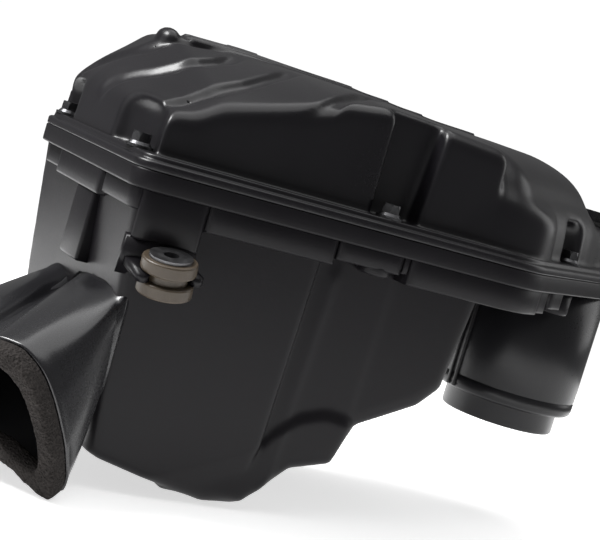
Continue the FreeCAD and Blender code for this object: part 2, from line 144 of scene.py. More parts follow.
def ring_at(loop, normals, inset, height):
    """The outline moved inwards by the inset and set at a height."""
    moved = loop - normals * inset
    return np.column_stack([moved, np.full(len(moved), height)])


def edge_profile(low, high, fillet):
    """(inset, height) pairs up a side wall: a quarter circle out at the bottom, a quarter
    circle in at the top."""
    turn = np.linspace(0, math.pi / 2, 4)
    up = np.column_stack([fillet * (1 - np.sin(turn)), low + fillet * (1 - np.cos(turn))])
    down = np.column_stack([fillet * (1 - np.cos(turn)), high - fillet * (1 - np.sin(turn))])
    return np.concatenate([up, down])


def slab(loop, normals, low, high, fillet):
    """Solid plate over an outline with rounded upper and lower edges."""
    return loft([ring_at(loop, normals, a, b) for a, b in edge_profile(low, high, fillet)])


def ring_shell(rings, flip=False):
    """Closed skin through rings, the last joined to the first: each point joins its neighbour in
    the ring and the point of the same number in the next ring."""
    rings = np.asarray(rings, float)
    rows, count = rings.shape[:2]
    a = np.arange(rows)[:, None] * count
    b = np.arange(count)[None, :]
    following, after = np.roll(a, -1, 0), (b + 1) % count
    quads = np.stack([a + b, a + after, following + after, following + b], -1).reshape(-1, 4)
    return rings.reshape(-1, 3), (quads[:, [0, 3, 2, 1]] if flip else quads).tolist()


def frame_bar(loop, normals, profile):
    """A closed profile of (inset, height) pairs carried round the outline."""
    return ring_shell([ring_at(loop, normals, a, b) for a, b in profile])


def lathe(profile, centre, sides, hollow=False):
    """A closed turned body: every (radius, height) pair of the profile becomes a circle round an
    upright axis. Solid with end faces, or hollow where the profile closes on itself."""
    profile = np.asarray(profile, float)
    angle = np.linspace(0, 2 * math.pi, sides, endpoint=False)
    rings = np.stack([centre[0] + profile[:, :1] * np.cos(angle),
                      centre[1] + profile[:, :1] * np.sin(angle),
                      np.repeat(profile[:, 1:], sides, 1)], -1)
    return ring_shell(rings) if hollow else loft(rings)


def leaned(points, centre):
    """Turns a shape made round the Z axis onto the leaning bolt axis of a mount."""
    axis = Vector(MOUNT_LEAN).normalized()
    turn = np.array(Vector((0, 0, 1)).rotation_difference(axis).to_matrix())
    return np.asarray(points) @ turn.T + centre


# ======================================================================== fields
def soft_max(a, b, reach):
    """The larger of two fields, with a rounded joint where they differ by less than the reach."""
    near = np.maximum(reach - np.abs(a - b), 0) / reach
    return np.maximum(a, b) + near * near * reach / 4


def soft_min(a, b, reach):
    """The smaller of two fields, joined in the same rounded way."""
    return -soft_max(-a, -b, reach)


def smooth_step(value, low, high):
    """0 below low, 1 above high, and 3 s squared less 2 s cubed between, s the share of the way."""
    share = np.clip((value - low) / (high - low), 0, 1)
    return share * share * (3 - 2 * share)


def smooth_curve(value, xs, heights, width):
    """Height over a line of points, each straight run eased into the next: the mean of the
    broken line over a window of the width."""
    spread = np.linspace(-width, width, 9)
    share = 1 + np.cos(spread / width * math.pi * 0.9)
    total = sum(s * np.interp(value + o, xs, heights) for s, o in zip(share, spread))
    return total / share.sum()


def polygon_field(x, y, corners):
    """Distance to a polygon, negative inside: the least distance to any edge, its sign from the
    number of edges crossed."""
    nearest, sign = None, 1.0
    for i, (bx, by) in enumerate(corners):
        ax, ay = corners[i - 1]
        ex, ey = bx - ax, by - ay
        along = np.clip(((x - ax) * ex + (y - ay) * ey) / (ex * ex + ey * ey), 0, 1)
        away = np.hypot(x - ax - along * ex, y - ay - along * ey)
        nearest = away if nearest is None else np.minimum(nearest, away)
        crossed = ((ay > y) != (by > y)) & ((x - ax) * (by - ay) * (1 if by > ay else -1)
                                            < (y - ay) * ex * (1 if by > ay else -1))
        sign = np.where(crossed, -sign, sign)
    return nearest * sign


def path_distance(x, y, path):
    """Distance to a broken line, and how far along it the nearest point is, from 0 to 1."""
    nearest, place = None, None
    for i in range(len(path) - 1):
        (ax, ay), (bx, by) = path[i], path[i + 1]
        ex, ey = bx - ax, by - ay
        along = np.clip(((x - ax) * ex + (y - ay) * ey) / (ex * ex + ey * ey), 0, 1)
        away = np.hypot(x - ax - along * ex, y - ay - along * ey)
        here = (i + along) / (len(path) - 1)
        if nearest is None:
            nearest, place = away, here
        else:
            place = np.where(away < nearest, here, place)
            nearest = np.minimum(nearest, away)
    return nearest, place


def blurred(value, width):
    """The field averaged with a bell-shaped weight along each axis in turn, which rounds every
    inner and outer edge."""
    reach = max(1, math.ceil(width * 2.5))
    weights = np.exp(-0.5 * (np.arange(-reach, reach + 1) / width) ** 2)
    weights /= weights.sum()
    for axis in range(3):
        count = value.shape[axis]
        before = np.take(value, [0] * reach, axis)
        behind = np.take(value, [count - 1] * reach, axis)
        padded = np.concatenate([before, value, behind], axis)
        total = np.zeros_like(value)
        for i, weight in enumerate(weights):
            part = [slice(None)] * 3
            part[axis] = slice(i, i + count)
            total += np.float32(weight) * padded[tuple(part)]
        value = total
    return value


def sample(grid, where):
    """Value between grid nodes, by proportion along the three axes."""
    top = np.array(grid.shape) - 2
    cell = np.clip(np.floor(where).astype(int), 0, top)
    share = np.clip(where - cell, 0, 1)
    total = 0
    for corner in range(8):
        step = np.array([corner & 1, corner >> 1 & 1, corner >> 2 & 1])
        weight = np.prod(np.where(step, share, 1 - share), axis=1)
        node = cell + step
        total = total + weight * grid[node[:, 0], node[:, 1], node[:, 2]]
    return total


FLATTEST, STEEPEST = 0.6, 1.7      # bounds of the slope that a field is divided by
MOVES, LONGEST_MOVE = 3, 0.45      # how often a point is moved, and how far in grid steps


def skin(field, limit, low, high, step):
    """Skin of a moulded shell. The field is the outer surface, negative inside, rounded by
    averaging and divided by its own slope, which makes it a distance; the shell is what lies
    within the wall's thickness behind it and inside the limit, a second field. Every grid cell
    that the shell's surface crosses gets one point, the mean of the crossings on the cell's
    edges, which is then moved onto the surface along the field's slope; four cells round a
    crossed edge make a face."""
    low, high = np.array(low, float), np.array(high, float)
    counts = np.ceil((high - low) / step).astype(int) + 1
    lines = [low[i] + step * np.arange(counts[i]) for i in range(3)]
    x, y, z = np.meshgrid(*lines, indexing="ij", sparse=True)
    outer = np.broadcast_to(field(x, y, z), tuple(counts)).astype(np.float32)
    outer = blurred(outer, EDGE_ROUNDING / step)
    steepness = np.sqrt(sum(s * s for s in np.gradient(outer))) / step
    outer = (outer / np.clip(steepness, FLATTEST, STEEPEST)).astype(np.float32)
    edge = np.broadcast_to(limit(x, y, z), tuple(counts)).astype(np.float32)
    value = np.maximum(np.maximum(outer, -(outer + np.float32(WALL))), edge)
    inside = value < 0
    shape = tuple(counts - 1)
    number = np.zeros(shape, np.float32)
    place = [np.zeros(shape, np.float32) for _ in range(3)]
    crossings = []
    for axis in range(3):
        head = [slice(None)] * 3
        tail = [slice(None)] * 3
        head[axis], tail[axis] = slice(None, -1), slice(1, None)
        crossed = inside[tuple(head)] != inside[tuple(tail)]
        crossings.append(crossed)
        first, second = value[tuple(head)], value[tuple(tail)]
        share = np.where(crossed, first / np.where(crossed, first - second, 1), 0)
        others = [i for i in range(3) if i != axis]
        for a in (0, 1):
            for b in (0, 1):
                part = [slice(None)] * 3
                part[others[0]] = slice(a, a + shape[others[0]])
                part[others[1]] = slice(b, b + shape[others[1]])
                mask = crossed[tuple(part)]
                number += mask
                place[axis] += share[tuple(part)]
                place[others[0]] += mask * np.float32(a)
                place[others[1]] += mask * np.float32(b)
    full = number > 0
    index = np.full(shape, -1, np.int64)
    index[full] = np.arange(full.sum())
    cells = np.argwhere(full)
    where = cells + np.stack([p[full] for p in place], -1) / number[full][:, None]
    faces = []
    for axis in range(3):
        b, c = (axis + 1) % 3, (axis + 2) % 3
        found = np.argwhere(crossings[axis])
        within = (found[:, b] > 0) & (found[:, c] > 0) & (found[:, b] < shape[b]) & (found[:, c] < shape[c])
        found = found[within]
        ring = []
        for db, dc in ((1, 1), (0, 1), (0, 0), (1, 0)):
            cell = found.copy()
            cell[:, b] -= db
            cell[:, c] -= dc
            ring.append(index[cell[:, 0], cell[:, 1], cell[:, 2]])
        ring = np.stack(ring, -1)
        ahead = inside[found[:, 0], found[:, 1], found[:, 2]]
        faces.append(np.where(ahead[:, None], ring, ring[:, ::-1]))
    slopes = np.gradient(outer)
    edge_slopes = np.gradient(edge)
    for _ in range(MOVES):
        out = sample(outer, where)
        rim = sample(edge, where)
        slope = np.stack([sample(s, where) for s in slopes], -1)
        rim_slope = np.stack([sample(s, where) for s in edge_slopes], -1)
        terms = np.stack([out, -(out + WALL), rim], -1)
        active = terms.argmax(-1)[:, None]
        chosen = np.where(active == 2, rim_slope, np.where(active == 1, -slope, slope))
        level = terms.max(-1)
        size = np.maximum((chosen ** 2).sum(-1), 0.05)
        move = chosen * (level / size)[:, None]
        where = where - np.clip(move, -LONGEST_MOVE, LONGEST_MOVE)
    normals = chosen / np.maximum(np.linalg.norm(chosen, axis=1), 1e-6)[:, None]
    return low + where * step, np.concatenate(faces).tolist(), normals


# ======================================================================== outlines
def diagonal_line(inset):
    """The y of the diagonal edge at x = 0 for a line moved inwards by the inset."""
    return -SLOPE * DIAGONAL_START + inset * SECANT


def seam_corners(inset, left=None, right=None):
    """The five sharp corners of the housing outline moved inwards by the inset, counter-clockwise
    from the front left; left and right may put the two ends elsewhere."""
    left = inset if left is None else left
    right = LENGTH - inset if right is None else right
    base = diagonal_line(inset)
    return [(left, inset), ((inset - base) / SLOPE, inset), (right, base + SLOPE * right),
            (right, DEPTH - inset), (left, DEPTH - inset)]


SEAM, SEAM_NORMALS = rounded_loop(seam_corners(0.0), SEAM_RADII, ARC_POINTS)
SEAM_LENGTHS = np.linalg.norm(np.diff(SEAM, axis=0, append=SEAM[:1]), axis=1)
# the way round the outline to each of its points, and to the first one again
SEAM_STEPS = np.concatenate([[0.0], np.cumsum(SEAM_LENGTHS)])
DIAGONAL = SEAM_STEPS[2 * ARC_POINTS - 1]           # where the outline's diagonal edge begins
FRONT = SEAM_STEPS[ARC_POINTS - 1] - SEAM_RADII[0]  # adding x gives the way round, on the front edge
LEFT = SEAM_RADII[0]                                # taking y off gives it, on the left edge


def seam_field(x, y, inset, radius, left=None, right=None):
    """Distance to the housing outline moved inwards, all its corners rounded by one radius."""
    left = inset if left is None else left
    right = LENGTH - inset if right is None else right
    return polygon_field(x, y, seam_corners(inset + radius, left + radius, right - radius)) - radius


# ======================================================================== cover
# heights along the front edge and along the ridge
FRONT_X = [4.0, 24.0, 35.0, 63.0, 94.0, 116.0, 146.0, 185.0, 215.0, 240.0, 272.0]
FRONT_Z = [25.0, 27.5, 34.0, 42.0, 52.0, 55.5, 54.5, 52.5, 52.0, 50.0, 42.0]
RIDGE_X = [-4.0, 4.0, 20.0, 38.0, 80.0, 138.0, 200.0, 240.0, 278.0]
RIDGE_Z = [20.0, 27.0, 44.0, 61.5, 62.5, 61.5, 57.5, 56.0, 48.0]
RIDGE_Y = 118.0
EASE = 5.0                              # how softly the two profiles turn
CROWN, BACK_FALL = 1.2, 0.10
# the middle lines of the roof's channels: x, y
GROOVES = [[(12, 152), (18, 138), (23, 123), (31, 111), (46, 106), (70, 112)],
           [(4, 105), (11, 93), (21, 81), (30, 74), (41, 72), (56, 82), (75, 104)],
           [(13, 30), (26, 33), (36, 33), (58, 46), (78, 64), (100, 90)],
           [(68, 6), (85, 15), (103, 31), (122, 52), (140, 74)]]
GROOVE_DEPTH, GROOVE_FLOOR, GROOVE_RIM = 2.9, 3.0, 4.6
SCALLOP_DEPTH, SCALLOP_START, SCALLOP_PITCH = 2.2, 60, 46
RAILS = ((111.0, 1.2), (117.0, 2.2), (123.0, 3.2))   # y of each rail and its rise over the ridge
RAIL_HALF, RAIL_LEFT, RAIL_RIGHT = 1.3, 47, 232
KNOB, KNOB_RADIUS, KNOB_STRETCH = (39, 120, 58.5), 6.0, 1.6
# x, y, half width, half depth and roof height of the two niches on the left
LEFT_NICHES = ((4.5, 37.0, 11.0, 25.0, 30.5), (4.5, 142.5, 12.5, 14.0, 26.5))
SLOT_LEFT, SLOT_RIGHT, SLOT_BACK = 121.5, 147.0, 24.0
CORNER_NICHE, CORNER_NICHE_ROOF, BACK_NICHE = 12.0, 27.5, 11.0
BLOCK_RIGHT = 190.0
LOBE_LEFT, LOBE_RIGHT, LOBE_CORNER = 150.0, 299.0, 32.0
LOBE_BREAK = 43.0                       # height at which the lobe's slope starts
LOBE_X, LOBE_Z = [150, 226, 255, 279, 298], [58.5, 57.5, 56.5, 54.0, 50.0]
SHOULDER_LEFT, SHOULDER_CORNER = 190.0, 24.0
SKIRT_INSET, SKIRT_CORNER = 4.5, 9.0
COVER_FOOT = 0.6


def roof_height(x, y):
    """Roof of the cover: a ramp between the front edge's profile and the ridge's, crowned by
    4 s (1 - s), s the share of the way back, falling a little behind the ridge, with sunk
    diagonal channels and a row of shallow scallops, a cosine wave, behind the ridge."""
    front = smooth_curve(x, FRONT_X, FRONT_Z, EASE)
    ridge = smooth_curve(x, RIDGE_X, RIDGE_Z, EASE)
    share = np.clip((y - RIM) / (RIDGE_Y - RIM), 0, 1)
    height = front + (ridge - front) * share + CROWN * 4 * share * (1 - share)
    height = height - BACK_FALL * np.maximum(y - RIDGE_Y - 6, 0)
    for path in GROOVES:
        away, place = path_distance(x, y, path)
        fade = smooth_step(place, 0.0, 0.10) * (1 - smooth_step(place, 0.86, 1.0))
        height = height - GROOVE_DEPTH * fade * (1 - smooth_step(away, GROOVE_FLOOR, GROOVE_RIM))
    scallop = 0.5 + 0.5 * np.cos((x - SCALLOP_START) / SCALLOP_PITCH * 2 * math.pi)
    behind = smooth_step(y, RIDGE_Y + 5, RIDGE_Y + 12)
    behind = behind * smooth_step(x, 50, 70) * (1 - smooth_step(x, 205, 225))
    return height - SCALLOP_DEPTH * scallop * behind


def ridge_rails(x, y, z):
    """Three fine rails along the ridge, each an upright band cut off at its rise, and a knob at
    their left end, a ball stretched from front to back."""
    top = smooth_curve(x, RIDGE_X, RIDGE_Z, EASE)
    rails = None
    for place, rise in RAILS:
        rail = np.maximum(np.abs(y - place) - RAIL_HALF, z - top - rise)
        rail = np.maximum(rail, np.maximum(RAIL_LEFT - x, x - RAIL_RIGHT))
        rails = rail if rails is None else np.minimum(rails, rail)
    knob_x, knob_y, knob_z = KNOB
    knob = np.sqrt((x - knob_x) ** 2 + ((y - knob_y) / KNOB_STRETCH) ** 2 + (z - knob_z) ** 2) - KNOB_RADIUS
    return np.minimum(rails, knob)


def ellipse_field(x, y, wide, deep):
    """Near distance to an ellipse: its level, less one, over the level's slope."""
    level = np.sqrt((x / wide) ** 2 + (y / deep) ** 2)
    slope = np.sqrt((x / wide ** 2) ** 2 + (y / deep ** 2) ** 2)
    return level * (level - 1) / np.maximum(slope, 1e-3)


def scoops(x, y, z):
    """Niches for the screws, upright and open outwards: (field, how softly its rim is rounded).
    The left ones are ellipses, the front one is a slot, the others are round behind the screw
    and straight in front of it."""
    fields = []
    for niche_x, niche_y, wide, deep, roof in LEFT_NICHES:
        niche = soft_max(ellipse_field(x - niche_x, y - niche_y, wide, deep), z - roof, 9.0)
        fields.append((niche, 3.0))
    slot = soft_max(soft_max(SLOT_LEFT - x, x - SLOT_RIGHT - 0.07 * z, 2.0), y - SLOT_BACK, 3.0)
    fields.append((slot, 2.5))
    screw_x, screw_y = CORNER_SCREW
    along = ((x - screw_x) + SLOPE * (y - screw_y)) / SECANT
    off = ((y - screw_y) - SLOPE * (x - screw_x)) / SECANT
    corner = np.where(off < 0, np.abs(along), np.hypot(along, off)) - CORNER_NICHE
    fields.append((soft_max(corner, z - CORNER_NICHE_ROOF, 6.0), 4.0))
    for screw_x, screw_y in BACK_SCREWS:
        across, beyond = x - screw_x, y - screw_y
        fields.append((np.where(beyond > 0, np.abs(across), np.hypot(across, beyond)) - BACK_NICHE, 4.0))
    across, beyond = y - END_SCREW[1], x - END_SCREW[0]
    fields.append((np.where(beyond > 0, np.abs(across), np.hypot(beyond, across)) - BACK_NICHE, 4.0))
    return fields


def cover_field(x, y, z):
    """Outside of the cover, the least of four bodies. The block on the left is the most of four
    leaning walls and the roof; the lobe on the right that of a steep wall, a slope at 45 degrees
    and a gently falling top; the shoulder that of a leaning wall and a flat top; the skirt is a
    flat plate inside the flange. The rails are added and the niches cut out."""
    roof = (z - roof_height(x, y)) * 0.93
    front = RIM + 0.5 + 0.03 * z - y
    left = END_RIM - 0.8 + 0.06 * z - x
    back = y - (DEPTH - RIM) + 0.03 * z - 5.5 * (1 - smooth_step(x, 16.0, 32.0))
    block = soft_max(front, x - BLOCK_RIGHT + 0.02 * z, 6.0)
    block = soft_max(block, back, 14.0)
    block = soft_max(block, left, 8.0)
    block = soft_max(block, roof, 7.0)
    plan = -seam_field(x, y, RIM + 0.5, LOBE_CORNER, LOBE_LEFT, LOBE_RIGHT)
    wall = -plan * 0.996 + (z - SHOULDER_TOP) * 0.087
    slope = (z - LOBE_BREAK - (plan - 9.0)) * 0.707
    top = z - smooth_curve(x, LOBE_X, LOBE_Z, 8.0)
    top = top + 0.05 * np.maximum(100.0 - y, 0)
    lobe = soft_max(soft_max(wall, slope, 16.0), top, 16.0)
    low_plan = seam_field(x, y, RIM + 0.5, SHOULDER_CORNER, SHOULDER_LEFT)
    shoulder = soft_max(low_plan + 0.06 * z, z - SHOULDER_HEIGHT, 9.0)
    shape = soft_min(soft_min(lobe, shoulder, 12.0), block, 2.5)
    shape = np.minimum(shape, ridge_rails(x, y, z))
    for scoop, rim in scoops(x, y, z):
        shape = soft_max(shape, -scoop, rim)
    skirt = seam_field(x, y, SKIRT_INSET, SKIRT_CORNER)
    return np.minimum(shape, np.maximum(skirt, z - (SHOULDER_TOP - 0.6)))


def cover_limit(x, y, z):
    """What is left out of the cover: everything below its foot."""
    return COVER_FOOT - z


# ======================================================================== case
# the two halves of the case from the front: x, z
CASE_LEFT = [(3.5, 12.0), (3.5, -2.0), (17.0, -131.0), (24.0, -134.0), (83.0, -147.5),
             (101.5, -146.5), (102.5, 12.0)]
CASE_RIGHT = [(60.0, 12.0), (60.0, -145.0), (103.0, -145.0), (123.0, -124.0), (144.0, -118.0),
              (151.0, -98.0), (168.0, -89.0), (183.0, -81.0), (193.0, -70.0), (199.5, -2.0), (199.5, 12.0)]
LEFT_FRONT, LEFT_BACK, RIGHT_FRONT, RIGHT_BACK = 6.5, 158.5, 13.5, 155.5
FRONT_LEAN, BACK_LEAN = 0.0348, 0.054
# the duct's outline where it leaves the case, at this x: y, z
ROOT_X = 15.0
ROOT_SHAPE = [(84, -67), (70, -57), (50, -54), (30, -52.6), (14, -54.5), (9.5, -61), (8.8, -71),
              (8.8, -81), (8.8, -90), (10, -98), (16, -105), (30, -110), (50, -112), (70, -112),
              (90, -112), (110, -109), (124, -99), (127, -85), (120, -71), (110, -63), (100, -61.5),
              (92, -63.5)]
# the arched edge over the bulge: x, z
ARCH_X = [96.0, 103.0, 109.0, 119.0, 132.0, 142.0, 150.0, 160.0]
ARCH_Z = [-124.0, -114.0, -105.0, -97.0, -92.6, -93.8, -95.5, -100.0]
RIDGE_PLACE, RIDGE_WIDTH, RIDGE_RISE = 114.0, 2.6, 1.3
BULGE_RISE, PAN_SINK = 2.2, 0.9
APRON_INSET, APRON_CORNER = 4.0, 8.0
TUB_TOP = 0.9


def case_field(x, y, z):
    """Outside of the tub, the least of two halves and a plate. Each half is its outline from the
    front between a leaning front and a leaning back wall. The left half stands forward of the
    right one and has a bevelled foot; the right one carries an upright ridge, a bell curve across
    it, and steps out into a bulge under the arched edge. The plate is the deck in the flange."""
    bevel = np.maximum(-114.4 - 0.47 * (98.8 - x) - z, 0) * 0.30
    left = soft_max(polygon_field(x, z, CASE_LEFT), LEFT_FRONT - y - FRONT_LEAN * z + bevel, 5.0)
    left = soft_max(left, y - LEFT_BACK - BACK_LEAN * z, 5.0)
    ridge = RIDGE_RISE * np.exp(-((x - RIDGE_PLACE - 0.03 * z) / RIDGE_WIDTH) ** 2)
    ridge = ridge * smooth_step(-z, 18.0, 30.0)
    step_out = BULGE_RISE * smooth_step(smooth_curve(x, ARCH_X, ARCH_Z, 4.0) - z, -1.5, 2.5)
    pan = PAN_SINK * smooth_step(x, 143.5, 148.0)
    front = RIGHT_FRONT - y - FRONT_LEAN * z - ridge - step_out + pan
    right = soft_max(polygon_field(x, z, CASE_RIGHT), front, 8.0)
    right = soft_max(right, y - RIGHT_BACK - BACK_LEAN * z, 5.0)
    shape = soft_min(left, right, 1.0)
    apron = seam_field(x, y, APRON_INSET, APRON_CORNER)
    plate = np.maximum(np.maximum(apron, -(CASE_FLANGE - 1.0) - z), z + 0.8)
    return np.minimum(shape, plate)


def case_limit(x, y, z):
    """What is left out of the tub: everything over the seam, the round way down to the outlet, and
    the way in from the duct."""
    way_out = OUTLET_RADIUS - 1.5 - np.hypot(x - OUTLET[0], y - OUTLET[1])
    way_in = -np.maximum(polygon_field(y, z, ROOT_SHAPE) + 3.5, x - 2 * ROOT_X)
    return np.maximum(np.maximum(z + TUB_TOP, way_out), way_in)


# ======================================================================== materials
class Value:
    """A socket with arithmetic: each operator adds its Math node."""

    def __init__(self, shader, socket):
        self.shader, self.socket = shader, socket

    def _math(self, operation, *inputs):
        return self.shader.node("ShaderNodeMath", {"operation": operation}, dict(enumerate(inputs)))

    def __add__(self, other):
        return self._math("ADD", self, other)

    __radd__ = __add__

    def __mul__(self, other):
        return self._math("MULTIPLY", self, other)

    __rmul__ = __mul__

    def __sub__(self, other):
        return self._math("SUBTRACT", self, other)

    def __rsub__(self, other):
        return self._math("SUBTRACT", other, self)


class Shader:
    """A material on the Principled shader. Its settings are given with underscores for spaces."""

    def __init__(self, name, **settings):
        self.material = bpy.data.materials.new(name)
        self.material.use_nodes = True
        self.tree = self.material.node_tree
        self.body = self.tree.nodes["Principled BSDF"]
        for key, value in settings.items():
            self.body.inputs[key.replace("_", " ")].default_value = value

    def node(self, kind, settings, inputs, output=0):
        """A new node: its settings, then its sockets, each a Value to link or a plain value."""
        made = self.tree.nodes.new(kind)
        for key, value in settings.items():
            setattr(made, key, value)
        for key, value in inputs.items():
            if isinstance(value, Value):
                self.tree.links.new(value.socket, made.inputs[key])
            else:
                made.inputs[key].default_value = value
        return Value(self, made.outputs[output])

    def place(self, scale=(1, 1, 1)):
        """Object coordinates, scaled."""
        coords = self.node("ShaderNodeTexCoord", {}, {}, output=3)
        return self.node("ShaderNodeMapping", {}, {0: coords, 3: scale})

    def noise(self, scale, detail=3.0, rough=0.55, where=None):
        """Cloudy noise, scale lumps to the metre."""
        return self.node("ShaderNodeTexNoise", {}, {"Vector": where or self.place(), "Scale": scale,
                                                    "Detail": detail, "Roughness": rough})

    def feed(self, key, value):
        """Links a value to a socket of the Principled shader."""
        self.tree.links.new(value.socket, self.body.inputs[key])

    def bump(self, height, distance):
        """Relief of the given depth, in metres."""
        self.feed("Normal", self.node("ShaderNodeBump", {}, {"Strength": 1.0, "Distance": distance,
                                                             "Height": height}))

    def mix(self, share, first, second):
        """The first colour where the share is 0, the second where it is 1."""
        return self.node("ShaderNodeMix", {"data_type": "RGBA"}, {0: share, 6: first, 7: second}, 2)


def moulded(name, dark, light, rough, coat=0.0, shine=0.36):
    """Moulded plastic: cloudy between two shades, with a fine leathery grain."""
    shade = Shader(name, Specular_IOR_Level=shine, Coat_Weight=coat, Coat_Roughness=0.25)
    cloud = shade.noise(14.0, 4.0)
    fine = shade.noise(900.0, 2.0)
    shade.feed("Base Color", shade.mix(cloud, dark, light))
    shade.feed("Roughness", rough + 0.16 * (cloud - 0.5) + 0.08 * (fine - 0.5))
    shade.bump(fine + 1.5 * shade.noise(60.0, 3.0), 0.00004)
    return shade.material


black_plastic = moulded("black_plastic", (0.0050, 0.0045, 0.0056, 1), (0.0085, 0.0077, 0.0094, 1), 0.38,
                        shine=0.2)
cover_plastic = moulded("cover_plastic", (0.0050, 0.0046, 0.0058, 1), (0.0085, 0.0078, 0.0098, 1), 0.31)
duct_plastic = moulded("duct_plastic", (0.0075, 0.0074, 0.0085, 1), (0.012, 0.0118, 0.0138, 1), 0.25, 0.6)
# the duct's inner faces: a paler copy of the duct plastic, painted light standing in for the light that
# reaches into the mouth
duct_inside_painted_light = moulded("duct_inside_painted_light", (0.030, 0.030, 0.032, 1), (0.050, 0.050, 0.053, 1), 0.55)
neck_plastic = moulded("neck_plastic", (0.008, 0.0078, 0.009, 1), (0.013, 0.0127, 0.0145, 1), 0.30)


def foam_look():
    """Open foam: round cells darkened towards their middles, painted shade in the pores, with paler walls
    of the foam's own colour.
    """
    shade = Shader("open_cell_foam", Roughness=0.95, Specular_IOR_Level=0.15)
    cells = shade.node("ShaderNodeTexVoronoi", {}, {"Vector": shade.place(), "Scale": 900.0})
    cloud = shade.noise(60.0, 4.0)
    share = cells * 0.7 + cloud * 0.5 - 0.1
    # the cell middles, which the bump sinks, are painted darker: painted shade in the pores
    shade.feed("Base Color", shade.mix(share, (0.010, 0.009, 0.0085, 1), (0.044, 0.039, 0.037, 1)))
    shade.bump(cells * 0.7 + shade.noise(400.0, 4.0), 0.0009)
    return shade.material


def rubber_look(name, dark, light, rough=0.55):
    """Rubber, and the filter's glue: dull, softly mottled."""
    shade = Shader(name, Specular_IOR_Level=0.4)
    cloud = shade.noise(90.0, 4.0)
    shade.feed("Base Color", shade.mix(cloud, dark, light))
    shade.feed("Roughness", rough + 0.2 * (cloud - 0.5))
    shade.bump(shade.noise(1200.0, 2.0), 0.00005)
    return shade.material


def metal_look(name, dark, light, rough):
    """Plated metal: mottled between two shades, its shine uneven."""
    shade = Shader(name, Metallic=1.0)
    cloud = shade.noise(300.0, 4.0)
    shade.feed("Base Color", shade.mix(cloud, dark, light))
    shade.feed("Roughness", rough + 0.22 * (cloud - 0.5))
    shade.bump(shade.noise(1800.0, 2.0), 0.00003)
    return shade.material


def paper_look():
    """Filter paper: fibres three times longer than wide."""
    shade = Shader("filter_paper", Roughness=0.9, Specular_IOR_Level=0.2)
    fibre = shade.noise(700.0, 5.0, 0.7, shade.place((1, 3, 1)))
    shade.feed("Base Color", shade.mix(fibre, (0.50, 0.40, 0.22, 1), (0.70, 0.60, 0.40, 1)))
    shade.bump(fibre, 0.0001)
    return shade.material


foam = foam_look()
brown_rubber = rubber_look("brown_rubber", (0.042, 0.031, 0.020, 1), (0.078, 0.060, 0.042, 1), 0.38)
black_rubber = rubber_look("black_rubber", (0.012, 0.012, 0.012, 1), (0.022, 0.022, 0.021, 1))
zinc = metal_look("dark_screw", (0.05, 0.05, 0.053, 1), (0.13, 0.13, 0.135, 1), 0.36)
sleeve_steel = metal_look("sleeve_steel", (0.10, 0.10, 0.105, 1), (0.20, 0.20, 0.205, 1), 0.38)
brass = metal_look("insert_brass", (0.50, 0.33, 0.12, 1), (0.72, 0.52, 0.22, 1), 0.35)
paper = paper_look()
glue = rubber_look("melt_glue", (0.55, 0.48, 0.32, 1), (0.70, 0.64, 0.48, 1), 0.35)
seal_rubber = rubber_look("filter_rubber", (0.02, 0.02, 0.02, 1), (0.035, 0.035, 0.034, 1))


# ======================================================================== pieces
def piece(name, shape, body, material, stands_for=()):
    """A new piece on a body, from points and faces in mm and perhaps normals, with the name of its
    material slot and of the CAD nodes that it stands for."""
    mesh = make_mesh(name, *shape)
    made = bpy.data.objects.new(name, mesh)
    bpy.context.scene.collection.objects.link(made)
    mesh.materials.append(material)
    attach(made, body)
    if stands_for:
        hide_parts(*stands_for)
    return made


def build_cover_dome():
    """The moulded cover: the skin of its field, on a grid fine enough for the channels."""
    shape = skin(cover_field, cover_limit, (-4, 4, -4), (340, 162, 70), 1.5)
    piece("cover_dome", shape, "cover", cover_plastic, ["upper_cover"])


def build_cover_flange():
    """The cover's edge: from the seam up round the lip, over a step, to the shoulder."""
    profile = [(FLANGE_WIDTH, 0.1), (0.4, 0.1), (0.1, 0.3), (0.0, 0.7), (0.0, 2.9), (0.25, 3.6),
               (0.8, 4.0), (1.5, COVER_FLANGE), (2.1, 4.25), (2.45, 4.5), (2.6, 5.2), (2.75, 6.1),
               (3.1, 6.5), (3.8, SHOULDER_TOP), (FLANGE_WIDTH, SHOULDER_TOP)]
    piece("cover_flange", frame_bar(SEAM, SEAM_NORMALS, profile), "cover", cover_plastic)


def build_case_tub():
    """The moulded tub: the skin of its field."""
    shape = skin(case_field, case_limit, (-2, 1, -152), (342, 168, 4), 1.7)
    piece("case_tub", shape, "case", black_plastic, ["lower_case"])


def build_case_flange():
    """The case's edge: from its underside up round the lip to the seam."""
    profile = [(FLANGE_WIDTH, -CASE_FLANGE), (1.0, -CASE_FLANGE), (0.4, -8.8), (0.1, -8.4), (0.0, -7.8),
               (0.0, -1.0), (0.15, -0.5), (0.5, -0.1), (FLANGE_WIDTH, -0.1)]
    piece("case_flange", frame_bar(SEAM, SEAM_NORMALS, profile), "case", black_plastic)


STRIP_TOP = -8.5                        # just inside the flange's underside


